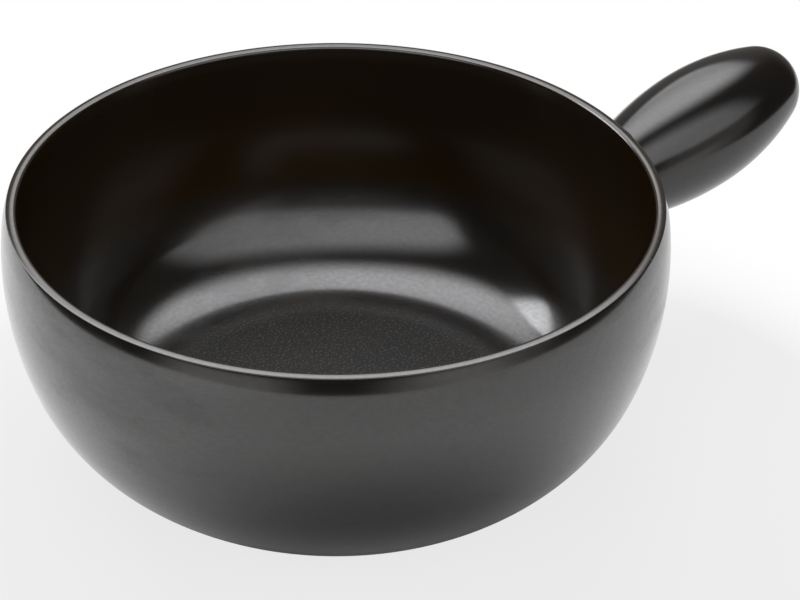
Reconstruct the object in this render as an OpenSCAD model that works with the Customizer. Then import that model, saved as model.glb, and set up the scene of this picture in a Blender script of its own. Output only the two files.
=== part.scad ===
// A round ceramic fondue pot, a caquelon: a cast bowl with a rounded belly and a hollow,
// club-shaped handle that is luted to the wall with slip before the firing.
// The origin is at the middle of the foot, on the table. The handle points along +X.

/* [Bowl] */
// Largest outside diameter of the bowl
belly_d = 228; // [200:1:250]
// Height of the widest level above the table
belly_z = 76.6; // [72:0.2:82]
// Height of the top of the lip above the table
rim_z = 97.7; // [94:0.1:104]
// Radius of the outer side in section
side_r = 110; // [100:1:125]
// Angle below the widest level at which the side passes into the heel, the curve above the foot
heel_angle = 19.2; // [16:0.1:24]
// Thickness of the rounded lip
lip_t = 4.2; // [3.4:0.1:5]
// Thickness of the wall at the widest level
wall_t = 5; // [4:0.1:7]
// Thickness of the floor above the foot's recess
floor_t = 8; // [6:0.1:10]
// Radius of the inner wall in section
inner_r = 95.6; // [90:0.2:105]
// Radius of the cove between the inner wall and the floor, in section
cove_r = 40; // [34:0.5:46]

/* [Foot] */
// Outside diameter of the foot ring
foot_d = 140; // [120:1:150]
// Width of the foot ring
foot_w = 11; // [6:0.5:16]
// Depth of the recess inside the foot ring
foot_recess = 1.6; // [0.8:0.1:2.5]

/* [Handle] */
// Height of the joint's middle above the table
joint_z = 62.6; // [56:0.2:68]
// Rise of the handle from level
handle_tilt = 17.4; // [10:0.1:24]
// Largest diameter of the grip
grip_d = 44.7; // [40:0.1:48]
// Distance from the wall to the thickest place of the grip
grip_at = 46; // [42:0.5:50]
// Radius of the rounded tip
tip_r = 16.5; // [14:0.1:18]
// Radius of the grip's outline between its thickest place and the tip
front_r = 88; // [80:1:110]
// Radius of the grip's outline between its thickest place and the neck
back_r = 112; // [100:1:124]
// Diameter of the neck
neck_d = 34; // [31:0.1:36]
// Radius of the hollow outline where the grip passes into the neck
nape_r = 40; // [30:1:50]
// Wall thickness of the hollow handle
handle_t = 5; // [4:0.1:6]
// Diameter of the vent hole in the handle's underside
vent_d = 4; // [3:0.1:6]
// Distance from the wall to the vent hole
vent_at = 56; // [48:0.5:60]

/* [Slip joint] */
// Thickness of the slip between the handle's root and the wall
slip_t = 0.8; // [0.5:0.1:1.5]
// Radius of the bead of slip that is smoothed round the neck
bead_r = 7; // [5:0.1:9]
// Thickness of the bead at its edge
bead_edge = 0.5; // [0.4:0.1:1]

/* [Hidden] */
$fn = 360;
// Overlap of two arcs that run into each other, so that no step is left between them
lap = 0.02;
glaze = [0.09, 0.085, 0.08];
slip_clay = [0.13, 0.12, 0.11];

// Outer side: an arc about a centre on the widest level, a little off the bowl's axis
belly_r = belly_d / 2;
side_c = belly_r - side_r;
// Heel: an arc that meets the side without a break and ends at the foot
heel_way = [cos(heel_angle), -sin(heel_angle)];
foot_way = [foot_d / 2 - side_c, -belly_z];
heel_gap = foot_way - side_r * heel_way;
heel_r = heel_gap * heel_gap / (2 * (side_r - foot_way * heel_way));
heel_c = side_c + (side_r - heel_r) * heel_way.x;
heel_z = belly_z + (side_r - heel_r) * heel_way.y;
heel_top = belly_z + side_r * heel_way.y;
// Lip: a half-round that carries on the side's arc, above a line from the arc's centre
lip_r = lip_t / 2;
lip_z = rim_z - lip_r;
lip_angle = asin((lip_z - belly_z) / (side_r - lip_r));
lip_c = side_c + (side_r - lip_r) * cos(lip_angle);
lip_line = [
    [0, belly_z - side_c * tan(lip_angle)],
    [belly_d, belly_z + (belly_d - side_c) * tan(lip_angle)]
];
// Inside: the wall stands upright at the widest level, and the cove meets both wall and floor
inner_c = belly_r - wall_t - inner_r;
floor_z = foot_recess + floor_t;
cove_z = floor_z + cove_r;
cove_c = inner_c + sqrt(pow(inner_r - cove_r, 2) - pow(cove_z - belly_z, 2));
cove_top = belly_z + (cove_z - belly_z) * inner_r / (inner_r - cove_r);

// Joint: a point on the outer side, with the wall's own direction there
joint_r = side_c + sqrt(pow(side_r, 2) - pow(joint_z - belly_z, 2));
wall_angle = asin((joint_z - belly_z) / side_r);
// Handle outline: neck, nape, back of the grip, front of the grip and tip, each touching the next
grip_r = grip_d / 2;
neck_r = neck_d / 2;
nape_c = neck_r + nape_r;
nape_run = sqrt(pow(back_r + nape_r, 2) - pow(nape_c + back_r - grip_r, 2));
nape_at = grip_at - nape_run;
tip_run = sqrt(pow(front_r - tip_r, 2) - pow(front_r - grip_r, 2));
tip_at = grip_at + tip_run;
// The neck runs on inside the wall, where the saddle cut ends it
root_depth = neck_r;
// Bead of slip: its hollow face stands on the wall, which is nearly a ball round the joint
bead_c = neck_r + bead_r;
bead_h = sqrt(pow(side_r + bead_r, 2) - pow(bead_c, 2)) - side_r + bead_edge;
bead_out = bead_c * side_r / (side_r + bead_r);
bead_drop = bead_out;

// A block that goes from the axis out past any outline, between two heights, set out from the first
module slab(from, to) {
    translate([0, from])
        mirror([0, to < from ? 1 : 0])
            square([belly_d, abs(to - from)]);
}

// Half of the bowl's outer outline, grown outward all round by a thickness
module outer_outline(grow = 0) {
    translate([0, -grow])
        square([heel_c, heel_top + grow]);
    intersection() {
        translate([heel_c, heel_z])
            circle(heel_r + grow + lap);
        slab(-grow, belly_z);
    }
    intersection() {
        translate([side_c, belly_z])
            circle(side_r + grow);
        slab(heel_top, rim_z);
        polygon([lip_line[0], lip_line[1], [belly_d, 0], [0, 0]]);
    }
}

// Half of the hollow: floor, cove, wall and the straight run up into the lip
module inner_outline() {
    translate([0, floor_z])
        square([cove_c, cove_top - floor_z]);
    intersection() {
        translate([cove_c, cove_z])
            circle(cove_r + lap);
        slab(floor_z, belly_z);
    }
    intersection() {
        translate([inner_c, belly_z])
            circle(inner_r);
        slab(belly_z, cove_top);
    }
    lip_in = [lip_c - lip_r + lap, lip_z];
    polygon([[0, belly_z], [belly_r - wall_t, belly_z], lip_in, [0, lip_z]]);
}

// The bowl's outside as one solid, which the handle and the slip are cut to
module bowl_outside(grow = 0) {
    rotate_extrude()
        outer_outline(grow);
}

// Half of the handle's outline, drawn in all round by a thickness; the axis runs along Y
module handle_outline(inset = 0) {
    nape_end = grip_at - nape_run * (back_r - inset) / (back_r + nape_r);
    tip_start = grip_at + tip_run * (front_r - inset) / (front_r - tip_r);
    translate([0, -root_depth])
        square([neck_r - inset, root_depth + nape_end]);
    difference() {
        translate([0, nape_at])
            square([nape_c - inset, nape_end - nape_at]);
        translate([nape_c, nape_at])
            circle(nape_r + inset + lap);
    }
    intersection() {
        translate([grip_r - back_r, grip_at])
            circle(back_r - inset);
        slab(grip_at, 0);
    }
    intersection() {
        translate([grip_r - front_r, grip_at])
            circle(front_r - inset);
        slab(grip_at, tip_start);
    }
    intersection() {
        translate([0, tip_at])
            circle(tip_r - inset + lap);
        slab(grip_at, tip_at + grip_d);
    }
}

// Puts a shape that stands up along Z onto the joint, leaning up from level by an angle
module at_joint(angle) {
    translate([joint_r, 0, joint_z])
        rotate([0, 90 - angle, 0])
            children();
}

// The handle's body as one solid, drawn in all round by a thickness
module handle_form(inset = 0) {
    at_joint(handle_tilt)
        rotate_extrude()
            handle_outline(inset);
}

// Cast bowl with its rounded lip and its foot ring
module bowl() {
    color(glaze)
        difference() {
            rotate_extrude() {
                difference() {
                    outer_outline();
                    inner_outline();
                }
                translate([lip_c, lip_z])
                    circle(lip_r + lap);
            }
            translate([0, 0, -foot_recess])
                cylinder(h = 2 * foot_recess, d = foot_d - 2 * foot_w);
        }
}

// Hollow cast handle, its root cut to a saddle that fits the wall with slip between
module handle() {
    color(glaze)
        difference() {
            handle_form();
            bowl_outside(slip_t);
            handle_form(handle_t);
            at_joint(handle_tilt)
                translate([0, 0, vent_at])
                    rotate([0, 90, 0])
                        cylinder(h = grip_d, d = vent_d);
        }
}

// Layer of slip under the root and the hollow-faced bead smoothed round the neck
module handle_slip_joint() {
    color(slip_clay)
        difference() {
            at_joint(wall_angle)
                rotate_extrude()
                    difference() {
                        translate([0, -bead_drop])
                            square([bead_out, bead_drop + bead_h]);
                        translate([bead_c, bead_h])
                            circle(bead_r);
                    }
            bowl_outside();
            difference() {
                handle_form();
                bowl_outside(slip_t);
            }
            handle_form(handle_t);
        }
}

bowl();
handle();
handle_slip_joint();
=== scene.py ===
# A round fondue pot in satin black glaze, put together in the order in which it is made:
# the cast bowl, its bare foot, the hollow handle, and the slip that joins the two.
import math

import bmesh
import bpy
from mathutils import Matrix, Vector


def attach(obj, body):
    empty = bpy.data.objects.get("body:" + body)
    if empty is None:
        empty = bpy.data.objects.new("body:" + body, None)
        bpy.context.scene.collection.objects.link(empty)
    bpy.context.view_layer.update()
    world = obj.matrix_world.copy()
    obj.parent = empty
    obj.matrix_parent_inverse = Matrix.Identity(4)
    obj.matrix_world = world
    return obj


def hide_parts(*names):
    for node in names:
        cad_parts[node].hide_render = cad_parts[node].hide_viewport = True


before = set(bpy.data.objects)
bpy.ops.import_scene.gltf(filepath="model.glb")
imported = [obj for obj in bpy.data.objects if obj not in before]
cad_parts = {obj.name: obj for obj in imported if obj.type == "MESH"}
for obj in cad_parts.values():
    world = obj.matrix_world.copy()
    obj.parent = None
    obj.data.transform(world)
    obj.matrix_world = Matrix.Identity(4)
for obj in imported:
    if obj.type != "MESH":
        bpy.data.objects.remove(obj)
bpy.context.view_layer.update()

# The bowl is cast stoneware with a full belly, a low foot ring, and a shoulder that rolls in to
# a thin crowned lip. It is dipped in black glaze and fired once. The glaze is thin and brown on
# the upper wall inside, and the wide floor stays rougher, with fine grain in it.
mm = 0.001
belly_radius = 114 * mm
belly_height = 76.6 * mm
side_radius = 110 * mm
side_axis = belly_radius - side_radius
side_centre = (side_axis, belly_height)
heel_angle = 19.2
foot_radius = 70 * mm
foot_width = 11 * mm
foot_recess = 1.6 * mm
recess_rounding = 0.9 * mm
foot_rounding = 0.75 * recess_rounding
rim_height = 97.8 * mm
shoulder_radius = 30 * mm
lip_outer_edge = 0.35 * mm
lip_crown_radius = 4.5 * mm
lip_inner_edge = 1.4 * mm
shoulder_end, outer_edge_end, crown_end = 21, 72, 102
wall_thickness = 5 * mm
inner_wall_radius = 95.6 * mm
cove_radius = 40 * mm
floor_height = 9.6 * mm
bowl_steps_around = 288


def arc(centre, radius, start, end, steps):
    """Points of an arc in a half section, from one angle to another, in degrees from level."""
    turns = [math.radians(start + (end - start) * i / steps) for i in range(steps + 1)]
    return [
        (centre[0] + radius * math.cos(a), centre[1] + radius * math.sin(a)) for a in turns
    ]


def next_centre(centre, radius, next_radius, angle):
    """Middle of the arc that carries on from another one at an angle, without a break."""
    step = radius - next_radius
    turn = math.radians(angle)
    return (centre[0] + step * math.cos(turn), centre[1] + step * math.sin(turn))


# Heel: the arc from the foot's edge that meets the side without a break
heel_way = (math.cos(math.radians(heel_angle)), -math.sin(math.radians(heel_angle)))
to_foot = (foot_radius - side_axis, -belly_height)
heel_gap = (to_foot[0] - side_radius * heel_way[0], to_foot[1] - side_radius * heel_way[1])
heel_radius = (heel_gap[0] ** 2 + heel_gap[1] ** 2) / (
    2 * (side_radius - to_foot[0] * heel_way[0] - to_foot[1] * heel_way[1])
)
heel_centre = next_centre(side_centre, side_radius, heel_radius, -heel_angle)
foot_angle = math.degrees(math.atan2(-heel_centre[1], foot_radius - heel_centre[0]))

# Lip: the side rolls in at a shoulder, then comes a crisp outer edge, a low crown and a softer
# inner edge. The shoulder starts at the height that puts the crown's top at the rim.
shoulder_rise = (
    rim_height
    - belly_height
    - lip_crown_radius
    - (shoulder_radius - lip_outer_edge) * math.sin(math.radians(shoulder_end))
    + (lip_crown_radius - lip_outer_edge) * math.sin(math.radians(outer_edge_end))
)
shoulder_start = math.degrees(math.asin(shoulder_rise / (side_radius - shoulder_radius)))
shoulder = next_centre(side_centre, side_radius, shoulder_radius, shoulder_start)
lip_outer = next_centre(shoulder, shoulder_radius, lip_outer_edge, shoulder_end)
lip_crown = next_centre(lip_outer, lip_outer_edge, lip_crown_radius, outer_edge_end)
lip_inner = next_centre(lip_crown, lip_crown_radius, lip_inner_edge, crown_end)
lip_inside = lip_inner[0] - lip_inner_edge

# Inside: a slight draw-in below the lip, the wall's arc, the cove and the flat floor
wall_inside = belly_radius - wall_thickness
draw_in = wall_inside - lip_inside
draw_rise = lip_inner[1] - belly_height
draw_radius = (draw_rise**2 + draw_in**2) / (2 * draw_in)
draw_angle = math.degrees(math.asin(draw_rise / draw_radius))
draw_centre = (wall_inside - draw_radius, belly_height)
inner_centre = (wall_inside - inner_wall_radius, belly_height)
cove_height = floor_height + cove_radius
cove_drop = cove_height - belly_height
cove_out = math.sqrt((inner_wall_radius - cove_radius) ** 2 - cove_drop**2)
cove_centre = (inner_centre[0] + cove_out, cove_height)
cove_start = math.degrees(math.atan2(cove_drop, cove_centre[0] - inner_centre[0]))

# Foot: a flat recess, and a ring with both of its inner edges rounded
recess_radius = foot_radius - foot_width
recess_edge = (recess_radius - recess_rounding, foot_recess - recess_rounding)
ring_edge = (recess_radius + foot_rounding, foot_rounding)
foot_outline = (
    [(out * mm, foot_recess) for out in (0, 20, 40)]
    + arc(recess_edge, recess_rounding, 90, 0, steps=5)
    + arc(ring_edge, foot_rounding, 180, 270, steps=5)
    + [(recess_radius + foot_width * part, 0.0) for part in (0.25, 0.5, 0.75, 0.92)]
)
floor_parts = (0.96, 0.9, 0.8, 0.66, 0.5, 0.34, 0.17, 0)
bowl_outline = (
    foot_outline
    + arc(heel_centre, heel_radius, foot_angle, -heel_angle, steps=44)
    + arc(side_centre, side_radius, -heel_angle, shoulder_start, steps=30)[1:]
    + arc(shoulder, shoulder_radius, shoulder_start, shoulder_end, steps=12)[1:]
    + arc(lip_outer, lip_outer_edge, shoulder_end, outer_edge_end, steps=6)[1:]
    + arc(lip_crown, lip_crown_radius, outer_edge_end, crown_end, steps=10)[1:]
    + arc(lip_inner, lip_inner_edge, crown_end, 180 + draw_angle, steps=10)[1:]
    + arc(draw_centre, draw_radius, draw_angle, 0, steps=12)[1:]
    + arc(inner_centre, inner_wall_radius, 0, cove_start, steps=26)[1:]
    + arc(cove_centre, cove_radius, cove_start, -90, steps=44)[1:]
    + [(cove_centre[0] * part, floor_height) for part in floor_parts]
)
# The bare clay runs from halfway round the recess's edge to just round the foot's outer edge
bare_start, bare_end = 6, len(foot_outline) + 1
bare_spans = range(bare_start, bare_end)


def in_scene(name, data):
    """Puts a mesh, a lamp or a camera into the scene."""
    thing = bpy.data.objects.new(name, data)
    bpy.context.scene.collection.objects.link(thing)
    return thing


def new_piece(name, form):
    """Makes a piece from a bmesh, with smooth faces that look outward."""
    bmesh.ops.recalc_face_normals(form, faces=form.faces)
    # A closed form with a negative volume is inside out, as the hollow bead can be
    if form.calc_volume(signed=True) < 0:
        bmesh.ops.reverse_faces(form, faces=form.faces)
    for face in form.faces:
        face.smooth = True
    mesh = bpy.data.meshes.new(name)
    form.to_mesh(mesh)
    form.free()
    return in_scene(name, mesh)


def turned(outline, steps):
    """Turns a half section about the upright axis, and says which span each face came from."""
    form = bmesh.new()
    span = form.faces.layers.int.new("span")
    turns = [2 * math.pi * i / steps for i in range(steps)]
    rings = []
    for radius, height in outline:
        if radius == 0:
            rings.append([form.verts.new((0, 0, height))])
            continue
        rings.append(
            [form.verts.new((radius * math.cos(a), radius * math.sin(a), height)) for a in turns]
        )
    for k, (low, high) in enumerate(zip(rings, rings[1:])):
        for i in range(steps):
            j = (i + 1) % steps
            corners = [low[i % len(low)], low[j % len(low)]]
            corners += [high[j % len(high)], high[i % len(high)]]
            face = form.faces.new(list(dict.fromkeys(corners)))
            face[span] = k
    return form


bowl_form = turned(bowl_outline, bowl_steps_around)
span = bowl_form.faces.layers.int["span"]
for face in bowl_form.faces:
    face.material_index = 1 if face[span] in bare_spans else 0
bowl = new_piece("glazed_bowl", bowl_form)


class Nodes:
    """A node tree with short calls that add a node and feed its sockets."""

    def __init__(self, tree):
        self.tree = tree

    def feed(self, socket, value):
        """Gives a socket a plain value, or links it to the output of another node."""
        if isinstance(value, bpy.types.NodeSocket):
            self.tree.links.new(value, socket)
        else:
            socket.default_value = value

    def add(self, kind, sockets=None, **settings):
        """Adds a node with its settings, and feeds its sockets by name or by number."""
        node = self.tree.nodes.new("ShaderNode" + kind)
        for key, value in settings.items():
            setattr(node, key, value)
        for key, value in (sockets or {}).items():
            self.feed(node.inputs[key], value)
        return node

    def place(self):
        """Where a point of the surface lies, in the piece's own frame."""
        return self.add("TexCoord").outputs["Object"]

    def axes(self, vector):
        """The three parts of a vector."""
        return self.add("SeparateXYZ", {"Vector": vector}).outputs[:]

    def math(self, operation, *values, clamp=False):
        """Works out one value from up to three others."""
        node = self.add("Math", dict(enumerate(values)), operation=operation, use_clamp=clamp)
        return node.outputs[0]

    def sum(self, first, *others):
        """Adds values together."""
        for other in others:
            first = self.math("ADD", first, other)
        return first

    def product(self, first, *others):
        """Multiplies values together."""
        for other in others:
            first = self.math("MULTIPLY", first, other)
        return first

    def span(self, source, low, high, to_low=0.0, to_high=1.0):
        """Maps a value from one range to another with soft ends. A fade that is kept under one
        name holds its two or four numbers in this order."""
        node = self.add(
            "MapRange",
            {
                "Value": source,
                "From Min": low,
                "From Max": high,
                "To Min": to_low,
                "To Max": to_high,
            },
            interpolation_type="SMOOTHSTEP",
        )
        return node.outputs["Result"]

    def noise(self, vector, scale, detail=2.0, roughness=0.5):
        """Soft random values, 0 to 1, over the surface."""
        node = self.add(
            "TexNoise",
            {"Vector": vector, "Scale": scale, "Detail": detail, "Roughness": roughness},
        )
        return node.outputs["Fac"]

    def tint(self, share, first, second):
        """Mixes two colours. The numbers are a Mix node's sockets for colours."""
        node = self.add("Mix", data_type="RGBA")
        for number, value in ((0, share), (6, first), (7, second)):
            self.feed(node.inputs[number], value)
        return node.outputs[2]


def node_group(name, inputs, outputs):
    """An empty shader node group with named sockets."""
    tree = bpy.data.node_groups.new(name, "ShaderNodeTree")
    for label, kind, default in inputs:
        socket = tree.interface.new_socket(
            label, in_out="INPUT", socket_type="NodeSocket" + kind
        )
        socket.default_value = default
    for label, kind in outputs:
        tree.interface.new_socket(label, in_out="OUTPUT", socket_type="NodeSocket" + kind)
    return tree


# Fired glaze: slow clouds in its depth, the soft waves and fine ripple of its skin, wipe marks
# and rare pits. Wave, Ripple and Height are in metres.
deep_black = (0.0098, 0.0084, 0.0071, 1.0)
thin_brown = (0.0175, 0.0088, 0.0012, 1.0)
cloud_thinness = 0.22
cloud_marks = 0.35
pit_roughness = 0.3
pit_depth = 1.5e-5
ripple_stretch = (520.0, 520.0, 1300.0)
wipe_stretch = (14.0, 14.0, 46.0)
fired_glaze = node_group(
    "fired_glaze",
    [
        ("Deep", "Color", deep_black),
        ("Thin", "Color", thin_brown),
        ("Thinness", "Float", 0.0),
        ("Gloss", "Float", 0.16),
        ("Marks", "Float", 0.06),
        ("Wave", "Float", 6e-6),
        ("Ripple", "Float", 2e-6),
    ],
    [
        ("Color", "Color"),
        ("Roughness", "Float"),
        ("Height", "Float"),
        ("Wiped", "Float"),
        ("Combed", "Float"),
    ],
)
n = Nodes(fired_glaze)
given = fired_glaze.nodes.new("NodeGroupInput").outputs
place = n.place()
cloud = n.span(n.noise(place, scale=16.0, detail=3.0, roughness=0.55), low=0.36, high=0.68)
wave = n.noise(place, scale=210.0, detail=2.0, roughness=0.45)
combed = n.add("Mapping", {"Vector": place, "Scale": ripple_stretch}).outputs[0]
ripple = n.noise(combed, scale=1.0, detail=2.0, roughness=0.6)
stretched = n.add("Mapping", {"Vector": place, "Scale": wipe_stretch}).outputs[0]
wipe = n.span(n.noise(stretched, scale=1.0, detail=4.0, roughness=0.62), low=0.52, high=0.74)
pit_cells = n.add("TexVoronoi", {"Vector": place, "Scale": 95.0, "Randomness": 1.0})
pit = n.span(pit_cells.outputs["Distance"], low=0.075, high=0.035)
rare = n.span(n.noise(place, scale=60.0, detail=1.0, roughness=0.5), low=0.6, high=0.66)
pit = n.product(pit, rare)
thin = n.math("MULTIPLY_ADD", cloud, cloud_thinness, given["Thinness"], clamp=True)
marks = n.product(n.math("MULTIPLY_ADD", cloud, cloud_marks, wipe), given["Marks"])
skin = n.math("MULTIPLY_ADD", wave, given["Wave"], n.product(ripple, given["Ripple"]))
results = {
    "Color": n.tint(thin, given["Deep"], given["Thin"]),
    "Roughness": n.sum(given["Gloss"], marks, n.product(pit, pit_roughness)),
    "Height": n.math("MULTIPLY_ADD", pit, -pit_depth, skin),
    "Wiped": wipe,
    "Combed": n.span(ripple, low=0.3, high=0.7, to_low=-1.0, to_high=1.0),
}
put_out = fired_glaze.nodes.new("NodeGroupOutput").inputs
for label, source in results.items():
    n.feed(put_out[label], source)


def empty_nodes(owner):
    """The node tree of a material, a lamp or the world, with nothing in it."""
    owner.use_nodes = True
    owner.node_tree.nodes.clear()
    return Nodes(owner.node_tree)


def new_material(name, shading):
    """A material with only its output and one shader in it, which gets plain values."""
    material = bpy.data.materials.new(name)
    n = empty_nodes(material)
    shader = n.add("BsdfPrincipled", shading)
    n.add("OutputMaterial", {"Surface": shader.outputs[0]})
    return material, n, shader.inputs


def glaze_on(n, **values):
    """Places the fired glaze in a material with that piece's own values."""
    node = n.tree.nodes.new("ShaderNodeGroup")
    node.node_tree = fired_glaze
    for label, value in values.items():
        n.feed(node.inputs[label], value)
    return node


def raise_skin(n, shader, height):
    """Raises the surface by a height in metres, as a bump."""
    bump = n.add("Bump", {"Strength": 1.0, "Distance": 1.0, "Height": height})
    n.feed(shader["Normal"], bump.outputs[0])


# The bowl's glaze: a glossy skin over a duller body. The skin is missing on the floor, nearly
# gone on the upper wall inside, and a little worn where it was wiped.
glaze_shading = {"IOR": 1.45, "Coat Weight": 1.0, "Coat IOR": 1.74, "Coat Roughness": 0.12}
floor_edge = (74 * mm, 58 * mm)
floor_bottom, floor_top = (7 * mm, 8 * mm), (16 * mm, 12 * mm)
wall_middle, wall_middle_height, wall_middle_bend = 111.5 * mm, 80 * mm, 258 * mm
wall_middle_soft = (-0.5 * mm, 0.5 * mm)
upper_wall_edge, dry_top = (36 * mm, 48 * mm), (95 * mm, 91 * mm)
dry_share = 0.85
wall_thinness = 0.7
lip_top, lip_thinness = (96.6 * mm, 97.6 * mm), 0.55
grain_top, low_grain = (44 * mm, 24 * mm), 0.4
grain_depth = 9e-5
floor_roughness = 0.34
speck_grey = (0.085, 0.081, 0.076, 1.0)
full_skin, wiped_wear, combed_wear = 0.92, -0.2, 0.08

bowl_glaze, n, shader = new_material("bowl_black_glaze", glaze_shading)
coat = glaze_on(n, Gloss=0.17, Marks=0.13, Wave=6e-6, Ripple=3.2e-6)
place = n.place()
x, y, up = n.axes(place)
across = n.math("SQRT", n.sum(n.math("POWER", x, 2.0), n.math("POWER", y, 2.0)))
on_floor = n.product(
    n.span(across, *floor_edge), n.span(up, *floor_bottom), n.span(up, *floor_top)
)
halfway = n.math("POWER", n.math("SUBTRACT", up, wall_middle_height), 2.0)
halfway = n.math("MULTIPLY_ADD", halfway, -1 / wall_middle_bend, wall_middle)
inside = n.span(n.math("SUBTRACT", halfway, across), *wall_middle_soft)
upper_wall = n.product(n.span(up, *upper_wall_edge), inside)
dry_wall = n.product(n.span(up, *dry_top), dry_share, upper_wall)
low_inside = n.product(inside, n.span(up, *grain_top), low_grain)
grainy = n.math("MAXIMUM", low_inside, on_floor)
grain = n.noise(place, scale=1000.0, detail=2.0, roughness=0.6)
speck = n.span(n.noise(place, scale=1150.0, detail=2.0, roughness=0.6), low=0.52, high=0.68)
lip_thin = n.span(up, *lip_top, 0.0, lip_thinness)
thinned = n.math("MAXIMUM", lip_thin, n.product(upper_wall, wall_thinness))
n.feed(coat.inputs["Thinness"], thinned)
skin = n.math("SUBTRACT", n.math("SUBTRACT", 1.0, on_floor), dry_wall, clamp=True)
worn = n.math("MULTIPLY_ADD", coat.outputs["Wiped"], wiped_wear, full_skin)
worn = n.math("MULTIPLY_ADD", coat.outputs["Combed"], combed_wear, worn)
n.feed(shader["Coat Weight"], n.product(skin, worn))
specked = n.tint(n.product(on_floor, speck), coat.outputs["Color"], speck_grey)
n.feed(shader["Base Color"], specked)
rough = n.math("MULTIPLY_ADD", on_floor, floor_roughness, coat.outputs["Roughness"])
n.feed(shader["Roughness"], rough)
grain_height = n.product(grain, grainy, grain_depth)
raise_skin(n, shader, n.sum(coat.outputs["Height"], grain_height))
bowl.data.materials.append(bowl_glaze)

# The foot ring is wiped clean of glaze before the firing, so that it doesn't stick to the shelf:
# bare buff stoneware with a gritty face, toasted brown in patches and round specks of iron.
buff_clay = (0.36, 0.27, 0.19, 1.0)
toasted_clay = (0.17, 0.105, 0.066, 1.0)
clay_roughness, grit_roughness = 0.7, 0.2
grit_depth = 9e-5

bare_clay, n, shader = new_material("bare_foot_clay", {"IOR": 1.5})
place = n.place()
grit = n.noise(place, scale=1400.0, detail=4.0, roughness=0.7)
toast = n.span(n.noise(place, scale=70.0, detail=4.0, roughness=0.6), low=0.4, high=0.66)
iron_cells = n.add("TexVoronoi", {"Vector": place, "Scale": 420.0})
iron = n.span(iron_cells.outputs["Distance"], low=0.16, high=0.08)
n.feed(shader["Base Color"], n.tint(n.math("MAXIMUM", toast, iron), buff_clay, toasted_clay))
n.feed(shader["Roughness"], n.math("MULTIPLY_ADD", grit, grit_roughness, clay_roughness))
raise_skin(n, shader, n.product(grit, grit_depth))
bowl.data.materials.append(bare_clay)

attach(bowl, "root")
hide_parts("bowl")

# The handle is a hollow cast club: a short neck, a grip that swells and a rounded tip.
# Its root is trimmed to a saddle that sits on the wall, and a small vent in its underside
# lets the air out in the firing. It carries the same black glaze as the bowl.
joint_height = 62.6 * mm
handle_tilt = math.radians(17.4)
grip_radius = 22.35 * mm
grip_at = 46 * mm
tip_radius = 16.5 * mm
front_radius = 88 * mm
back_radius = 112 * mm
neck_radius = 17 * mm
nape_radius = 40 * mm
root_sink = 0.4 * mm
root_search = -30 * mm
vent_radius = 2 * mm
vent_at = 56 * mm
handle_steps_around = 96
ring_step = 1.5 * mm
neck_rings, tip_rings = 9, 12
rings_before_vent, rings_after_vent = 28, 16
handle_skin, handle_combed = 0.65, 0.04

joint_at = side_axis + math.sqrt(side_radius**2 - (joint_height - belly_height) ** 2)
handle_root = Vector((joint_at, 0, joint_height))
handle_along = Vector((math.cos(handle_tilt), 0, math.sin(handle_tilt)))
handle_up = Vector((-math.sin(handle_tilt), 0, math.cos(handle_tilt)))
handle_side = Vector((0, 1, 0))
nape_axis = neck_radius + nape_radius
nape_run = math.sqrt(
    (back_radius + nape_radius) ** 2 - (nape_axis + back_radius - grip_radius) ** 2
)
nape_at = grip_at - nape_run
nape_end = grip_at - nape_run * back_radius / (back_radius + nape_radius)
tip_run = math.sqrt((front_radius - tip_radius) ** 2 - (front_radius - grip_radius) ** 2)
tip_at = grip_at + tip_run
tip_start = grip_at + tip_run * front_radius / (front_radius - tip_radius)


def handle_radius(run):
    """Radius of the handle at a distance along its axis from the wall."""
    if run < nape_at:
        return neck_radius
    if run < nape_end:
        return nape_axis - math.sqrt(nape_radius**2 - (run - nape_at) ** 2)
    if run < grip_at:
        return grip_radius - back_radius + math.sqrt(back_radius**2 - (run - grip_at) ** 2)
    if run < tip_start:
        return grip_radius - front_radius + math.sqrt(front_radius**2 - (run - grip_at) ** 2)
    return math.sqrt(max(tip_radius**2 - (run - tip_at) ** 2, 0.0))


def round_handle(run, turn, radius):
    """A point beside the handle's axis: how far along, which way round, and how far out."""
    out = handle_up * math.cos(turn) + handle_side * math.sin(turn)
    return handle_root + handle_along * run + out * radius


def on_handle(run, turn):
    """A point on the handle's surface."""
    return round_handle(run, turn, handle_radius(run))


def wall_gap(point):
    """Distance of a point from the bowl's outer wall, and the way out from the wall there."""
    flat = Vector((point.x, point.y, 0))
    radius = flat.length
    out = flat / radius
    level = math.degrees(math.atan2(point.z - side_centre[1], radius - side_centre[0]))
    centre, size = side_centre, side_radius
    if level <= -heel_angle:
        centre, size = heel_centre, heel_radius
    away = Vector((radius - centre[0], 0, point.z - centre[1]))
    gap = away.length - size
    away.normalize()
    return gap, out * away.x + Vector((0, 0, away.z))


def solve(low, high, too_far, halvings=40):
    """The place between two runs where a test turns true, by halving."""
    for _ in range(halvings):
        middle = 0.5 * (low + high)
        if too_far(middle):
            high = middle
        else:
            low = middle
    return low


turns = [2 * math.pi * j / handle_steps_around for j in range(handle_steps_around)]
plain_runs = [vent_at + ring_step * k for k in range(-rings_before_vent, rings_after_vent + 1)]
tip_turn = math.acos((plain_runs[-1] + ring_step - tip_at) / tip_radius)
tip_runs = [
    tip_at + tip_radius * math.cos(tip_turn * (1 - k / tip_rings)) for k in range(tip_rings)
]
handle_form = bmesh.new()
rings = [[] for _ in range(neck_rings)]
for turn in turns:
    start = solve(
        root_search,
        plain_runs[0],
        lambda run: wall_gap(on_handle(run, turn))[0] > -root_sink,
    )
    for k, ring in enumerate(rings):
        run = start + (plain_runs[0] - start) * k / neck_rings
        ring.append(handle_form.verts.new(on_handle(run, turn)))
for run in plain_runs + tip_runs:
    rings.append([handle_form.verts.new(on_handle(run, turn)) for turn in turns])

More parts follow.
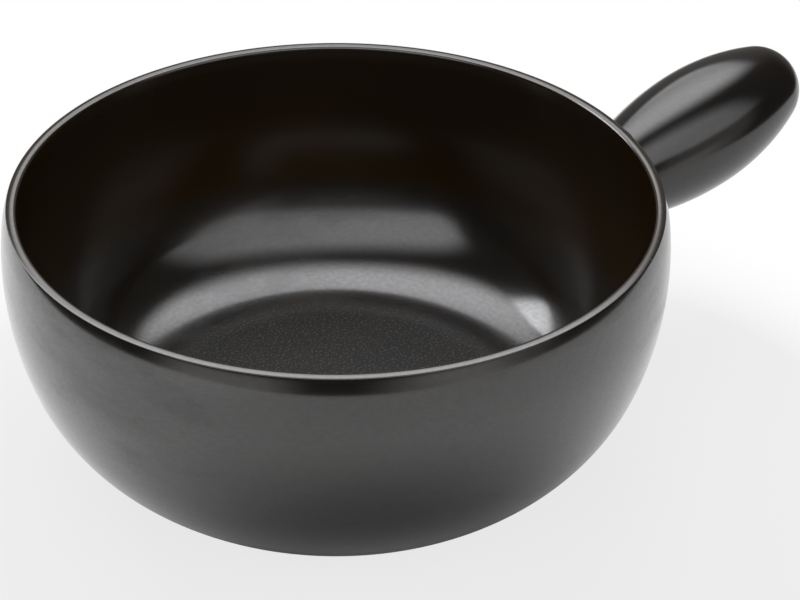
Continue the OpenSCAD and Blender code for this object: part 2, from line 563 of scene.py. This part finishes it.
# The skin, the tip and the seat, with a square patch of 4 by 4 faces left open for the vent
vent_ring = neck_rings + rings_before_vent
vent_turn = handle_steps_around // 2
open_rings = range(vent_ring - 2, vent_ring + 2)
open_turns = range(vent_turn - 2, vent_turn + 2)
tip = handle_form.verts.new(round_handle(tip_at + tip_radius, 0, 0))
seat = handle_form.verts.new(handle_root - handle_along * root_sink)
for j in range(handle_steps_around):
    i = (j + 1) % handle_steps_around
    for k, (low, high) in enumerate(zip(rings, rings[1:])):
        if k not in open_rings or j not in open_turns:
            handle_form.faces.new((low[j], low[i], high[i], high[j]))
    handle_form.faces.new((rings[-1][j], rings[-1][i], tip))
    handle_form.faces.new((rings[0][i], rings[0][j], seat))

# Vent: the open patch closes in on a round hole with a softened mouth, and opens into the hollow.
# Each step gives how wide and how deep it is, in parts of the vent's radius.
patch = [(2, 0), (2, 1), (2, 2), (1, 2), (0, 2), (-1, 2), (-2, 2), (-2, 1)]
patch += [(-a, -b) for a, b in patch]
vent_steps = (
    (1.32, 0.0),
    (1.13, 0.02),
    (1.03, 0.1),
    (1.0, 0.3),
    (1.0, 1.0),
    (1.0, 2.5),
    (2.0, 2.6),
    (2.2, 5.0),
)
vent_loops = [[rings[vent_ring + a][vent_turn + b] for a, b in patch]]
for wide, deep in vent_steps:
    loop = []
    for a, b in patch:
        aim = math.atan2(b, a)
        run = vent_at + vent_radius * wide * math.cos(aim)
        aside = vent_radius * wide * math.sin(aim)
        point = on_handle(run, math.pi + aside / handle_radius(run))
        loop.append(handle_form.verts.new(point + handle_up * deep * vent_radius))
    vent_loops.append(loop)
for outer, inner in zip(vent_loops, vent_loops[1:]):
    for i in range(len(patch)):
        j = (i + 1) % len(patch)
        handle_form.faces.new((outer[i], outer[j], inner[j], inner[i]))
handle_form.faces.new(vent_loops[-1])
for vert in [v for v in handle_form.verts if not v.link_faces]:
    handle_form.verts.remove(vert)
handle = new_piece("glazed_handle", handle_form)


def plain_glaze(n, shader, coat):
    """Feeds a shader with a glaze's own colour, roughness and skin."""
    n.feed(shader["Base Color"], coat.outputs["Color"])
    n.feed(shader["Roughness"], coat.outputs["Roughness"])
    raise_skin(n, shader, coat.outputs["Height"])


handle_glaze, n, shader = new_material("handle_black_glaze", glaze_shading)
coat = glaze_on(n, Gloss=0.2, Marks=0.06, Wave=7e-6, Ripple=1.6e-6)
plain_glaze(n, shader, coat)
skin = n.math("MULTIPLY_ADD", coat.outputs["Combed"], handle_combed, handle_skin)
n.feed(shader["Coat Weight"], skin)
handle.data.materials.append(handle_glaze)
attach(handle, "root")
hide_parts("handle")

# Liquid clay, the slip, holds the handle's root on the wall. It is smoothed by hand into a
# hollow bead all round the neck before the glazing, so that wall and handle run together.
bead_radius = 7 * mm
bead_depth = 3.2 * mm
bead_search = 25 * mm
bead_steps = 14


def bead_ball(run, turn):
    """Middle of a ball that rests on the handle from outside, at a run along the handle."""
    if run < nape_at:
        return round_handle(run, turn, neck_radius + bead_radius)
    reach = nape_radius - bead_radius
    return round_handle(run, turn, nape_axis - math.sqrt(reach**2 - (run - nape_at) ** 2))


bead_form = bmesh.new()
bead_rings = []
for turn in turns:
    run = solve(
        -bead_search,
        bead_search,
        lambda run: wall_gap(bead_ball(run, turn))[0] > bead_radius,
    )
    middle = bead_ball(run, turn)
    wall_way = -wall_gap(middle)[1]
    if run < nape_at:
        neck_way = (handle_root + handle_along * run - middle).normalized()
    else:
        neck_way = (middle - round_handle(nape_at, turn, nape_axis)).normalized()
    bend = wall_way.angle(neck_way)
    ring = []
    for k in range(bead_steps + 1):
        part = k / bead_steps
        way = wall_way * math.sin((1 - part) * bend) + neck_way * math.sin(part * bend)
        ring.append(bead_form.verts.new(middle + way / math.sin(bend) * bead_radius))
    inward = (wall_way + neck_way).normalized()
    ring.append(bead_form.verts.new(middle + inward * (bead_radius + bead_depth)))
    bead_rings.append(ring)
for one, two in zip(bead_rings, bead_rings[1:] + bead_rings[:1]):
    for k in range(len(one)):
        m = (k + 1) % len(one)
        bead_form.faces.new((one[k], one[m], two[m], two[k]))
joint = new_piece("glazed_slip_joint", bead_form)

joint_glaze, n, shader = new_material("joint_black_glaze", glaze_shading)
coat = glaze_on(n, Gloss=0.17, Marks=0.08, Wave=1.1e-5, Ripple=2e-6)
plain_glaze(n, shader, coat)
joint.data.materials.append(joint_glaze)
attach(joint, "root")
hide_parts("handle_slip_joint")

# The table is a plain white board with round corners. It is lit by the same lamps as the pot and
# keeps its shadow, and away from the pot it runs into the white behind it. Its reflection in the
# glaze is a little greyer to the right.
view_turn = math.radians(32)
table_middle = (0.0, 0.03)
table_half = (0.53, 0.55)
table_corner = 0.5
table_rings, table_sides = 10, 64
table_drop = 0.2 * mm
table_white = (0.54, 0.54, 0.54, 1.0)
plain_white = (1, 1, 1, 1)
fade_middle = (0.015, -0.07, 0)
seen_fade, mirrored_fade = (0.06, 0.25), (0.03, 0.16)
seen_veil = 0.78
mirrored_grey = (-0.30, 0.0, 1.0, 0.74)


def in_room(right, away, up):
    """A place in the room, seen from the camera's side: to the right, away and up, in metres."""
    return Vector(
        (
            right * math.cos(view_turn) + away * math.sin(view_turn),
            -right * math.sin(view_turn) + away * math.cos(view_turn),
            up,
        )
    )


table_form = bmesh.new()
table_rows = []
for i in range(1, table_rings + 1):
    row = []
    for j in range(table_sides):
        turn = 2 * math.pi * j / table_sides
        ways = (math.cos(turn), math.sin(turn))
        spot = []
        for way, middle, half in zip(ways, table_middle, table_half):
            out = math.copysign(abs(way) ** table_corner, way)
            spot.append(middle + half * out * i / table_rings)
        row.append(table_form.verts.new(in_room(*spot, 0)))
    table_rows.append(row)
for low, high in zip(table_rows, table_rows[1:]):
    for j in range(table_sides):
        k = (j + 1) % table_sides
        table_form.faces.new((low[j], low[k], high[k], high[j]))
table_form.faces.new(table_rows[0])
table = new_piece("white_table", table_form)
table.location.z = -table_drop

table_paint = bpy.data.materials.new("white_table_paint")
n = empty_nodes(table_paint)
place = n.place()
reach = n.add("VectorMath", {0: place, 1: in_room(*fade_middle)}, operation="DISTANCE")
rightward = n.add("VectorMath", {0: place, 1: in_room(1, 0, 0)}, operation="DOT_PRODUCT")
path = n.add("LightPath").outputs
seen = path["Is Camera Ray"]
mirrored = n.math("MAXIMUM", path["Is Glossy Ray"], path["Is Transmission Ray"])
fade = n.math(
    "MAXIMUM",
    n.product(seen, n.span(reach.outputs["Value"], *seen_fade)),
    n.product(mirrored, n.span(reach.outputs["Value"], *mirrored_fade)),
)
share = n.math("MAXIMUM", fade, n.product(seen, seen_veil))
white = n.math("MAXIMUM", seen, n.span(rightward.outputs["Value"], *mirrored_grey))
matt = n.add("BsdfDiffuse", {"Color": table_white})
glow = n.add("Emission", {"Color": plain_white, "Strength": white})
mixed = n.add("MixShader", {0: share, 1: matt.outputs[0], 2: glow.outputs[0]})
n.add("OutputMaterial", {"Surface": mixed.outputs[0]})
table.data.materials.append(table_paint)

# Round the table hangs a dim grey cloth, which only reflections and soft light see. It is a
# little paler behind the pot and on the handle's near side, and palest in a low band to the left
# and the right of the camera. Behind it all is plain white.
cloth_radius = 5.0
cloth_segments, cloth_rows = 48, 24
cloth_tint = (1.0, 0.96, 0.91, 1)
cloth_dim = 0.035
cloth_behind, behind_way, behind_edge = 0.13, (0.0, 1.0, 0.0), (0.4, 0.95)
cloth_beside, beside_way, beside_edge = 0.25, (0.738, -0.658, 0.150), (0.86, 0.97)
cloth_flanks, flank_change = (0.62, 0.42), (-0.2, 0.2)
flank_near, flank_far, flank_front = (0.1, 0.45), (0.9, 0.7), (0.0, -0.2)
band_bottom, band_top = (-0.24, -0.14), (0.16, 0.04)

cloth_form = bmesh.new()
bmesh.ops.create_uvsphere(
    cloth_form, u_segments=cloth_segments, v_segments=cloth_rows, radius=cloth_radius
)
cloth = new_piece("studio_cloth", cloth_form)
cloth.rotation_euler.z = -view_turn
cloth.visible_camera = False
cloth.visible_shadow = False

cloth_grey = bpy.data.materials.new("studio_cloth_grey")
n = empty_nodes(cloth_grey)
way = n.add("VectorMath", {0: n.place()}, operation="NORMALIZE").outputs["Vector"]
behind = n.add("VectorMath", {0: way, 1: behind_way}, operation="DOT_PRODUCT")
beside = n.add("VectorMath", {0: way, 1: beside_way}, operation="DOT_PRODUCT")
right, away, up = n.axes(way)
aside = n.math("ABSOLUTE", right)
band = n.product(n.span(up, *band_bottom), n.span(up, *band_top))
flank = n.product(
    n.span(aside, *flank_near), n.span(aside, *flank_far), band, n.span(away, *flank_front)
)
light = n.sum(
    n.span(behind.outputs["Value"], *behind_edge, cloth_dim, cloth_dim + cloth_behind),
    n.span(beside.outputs["Value"], *beside_edge, 0.0, cloth_beside),
    n.product(flank, n.span(right, *flank_change, *cloth_flanks)),
)
dim = n.add("Emission", {"Color": cloth_tint, "Strength": light})
n.add("OutputMaterial", {"Surface": dim.outputs[0]})
cloth.data.materials.append(cloth_grey)

world = bpy.data.worlds.new("white_behind")
bpy.context.scene.world = world
n = empty_nodes(world)
white = n.add("Background", {"Color": plain_white, "Strength": 1.0})
n.add("OutputWorld", {"Surface": white.outputs[0]})

# Three soft lamps with a faint daylight tint: a diffuser with round corners low over the pot, a
# wide pale sheet above the camera that dims to the right, and a smaller, brighter box on the left.
daylight = (0.965, 0.975, 1.0, 1)
lying_level = (0, 0, -view_turn)


def soft_lamp(name, middle, turn, size, glow):
    """An area lamp of a given brightness. Gives its nodes, a point's place across and up the
    lamp, each from -1 to 1, and the socket for how bright it is there."""
    lamp = bpy.data.lights.new(name, "AREA")
    lamp.shape = "RECTANGLE"
    lamp.size, lamp.size_y = size
    lamp.energy = glow * math.pi * size[0] * size[1]
    box = in_scene(name, lamp)
    box.location = middle
    box.rotation_euler = turn
    box.visible_camera = False
    n = empty_nodes(lamp)
    shine = n.add("Emission", {"Color": daylight})
    n.add("OutputLight", {"Surface": shine.outputs[0]})
    sides = n.axes(n.add("NewGeometry").outputs["Parametric"])
    right, up = [n.math("MULTIPLY_ADD", side, 2.0, -1.0) for side in sides[:2]]
    return n, right, up, shine.inputs["Strength"]


def off_middle(n, right, up, corner):
    """Distance from the lamp's middle: the higher the power, the squarer the corners."""
    sides = [n.math("POWER", n.math("ABSOLUTE", side), corner) for side in (right, up)]
    return n.math("POWER", n.sum(*sides), 1 / corner)


# The diffuser lies level. It narrows and dims towards its far end.
panel_half, panel_near, panel_far = 0.4375, 0.43, 0.56
panel_offset = 0.5 * (panel_far - panel_near)
panel_middle = in_room(-0.035, 0.36 + panel_offset, 0.49)
panel_size = (2 * panel_half, panel_near + panel_far)
panel_glow = 3.15
panel_edge = (1.0, 0.6)
near_corner, far_corner, far_narrowing = 2.4, 2.0, 0.8
panel_dimming = (-0.2, 0.16, 1.0, 0.5)
n, right, up, strength = soft_lamp(
    "lamp_over", panel_middle, lying_level, panel_size, panel_glow
)
depth = n.math("MULTIPLY_ADD", up, 0.5 * panel_size[1], panel_offset)
nearer = n.math("MAXIMUM", n.math("DIVIDE", depth, -panel_near), 0.0)
farther = n.math("MAXIMUM", n.math("DIVIDE", depth, panel_far), 0.0)
narrowed = n.product(right, n.math("MULTIPLY_ADD", farther, far_narrowing, 1.0))
off = n.math(
    "MAXIMUM",
    off_middle(n, right, nearer, near_corner),
    off_middle(n, narrowed, farther, far_corner),
)
n.feed(strength, n.product(n.span(off, *panel_edge), n.span(depth, *panel_dimming)))

# The pale sheet hangs level. Its near edge is an arch that falls away to the left, and one corner
# on the right is cut off. Its outline is in units of sheet_scale, a little less than its height.
sheet_height, sheet_scale, sheet_away = 1.33, 1.315, 0.085
sheet_middle = (0.15, -1.35)
sheet_half = (2.85, 1.10)
sheet_glow = 1.45
arch_depth, arch_middle, arch_slope = -0.42, 0.9, -0.135
bend_from, bend_slope = -0.6, -0.4
near_soft, far_soft = (-0.25, 0.25), (-2.42, -1.95)
left_soft, right_soft = (-2.35, -1.65), (2.85, 2.15)
cut_from, cut_slope = -1.5, 1.1
sheet_dimming = (-0.6, 2.4, 1.0, 0.45)
sheet_place = in_room(
    sheet_scale * sheet_middle[0], sheet_away + sheet_scale * sheet_middle[1], sheet_height
)
sheet_size = (2 * sheet_scale * sheet_half[0], 2 * sheet_scale * sheet_half[1])
n, right, up, strength = soft_lamp(
    "lamp_front", sheet_place, lying_level, sheet_size, sheet_glow
)
along = n.math("MULTIPLY_ADD", right, sheet_half[0], sheet_middle[0])
depth = n.math("MULTIPLY_ADD", up, sheet_half[1], sheet_middle[1])
slope = n.product(n.math("ABSOLUTE", n.math("SUBTRACT", along, arch_middle)), arch_slope)
bend = n.math("POWER", n.math("MAXIMUM", n.math("SUBTRACT", bend_from, along), 0.0), 2.0)
edge = n.sum(n.math("MULTIPLY_ADD", bend, bend_slope, slope), arch_depth)
cut = n.math("MAXIMUM", n.math("SUBTRACT", cut_from, depth), 0.0)
side_edge = n.product(
    n.span(along, *left_soft),
    n.span(n.math("MULTIPLY_ADD", cut, cut_slope, along), *right_soft),
)
sheet = n.product(
    n.span(n.math("SUBTRACT", edge, depth), *near_soft),
    n.span(depth, *far_soft),
    side_edge,
    n.span(along, *sheet_dimming),
)
n.feed(strength, sheet)

# The box on the left stands upright and faces right.
box_middle = in_room(-0.46, 0.345, 0.435)
box_turn = in_room(1, 0, 0).to_track_quat("-Z", "Y").to_euler()
box_size = (0.36, 0.38)
box_glow = 5.4
box_corner, box_edge = 3.0, (1.0, 0.66)
n, right, up, strength = soft_lamp("lamp_left", box_middle, box_turn, box_size, box_glow)
n.feed(strength, n.span(off_middle(n, right, up, box_corner), *box_edge))

# The camera stands in front of the pot and looks down on it, with the handle away to the right.
# A small sideways shift frames the pot together with its handle.
camera_place = (-0.4018, -0.6431, 0.5421)
camera_pitch = math.radians(32.74)
camera_lens = bpy.data.cameras.new("camera")
camera_lens.lens = 116.7
camera_lens.sensor_width = 36.0
camera_lens.sensor_fit = "HORIZONTAL"
camera_lens.shift_x = 0.08
camera_lens.clip_start = 0.01
camera = in_scene("camera", camera_lens)
camera.location = camera_place
camera.rotation_euler = (math.pi / 2 - camera_pitch, 0, -view_turn)
bpy.context.scene.camera = camera

bpy.context.scene.view_settings.view_transform = "Standard"
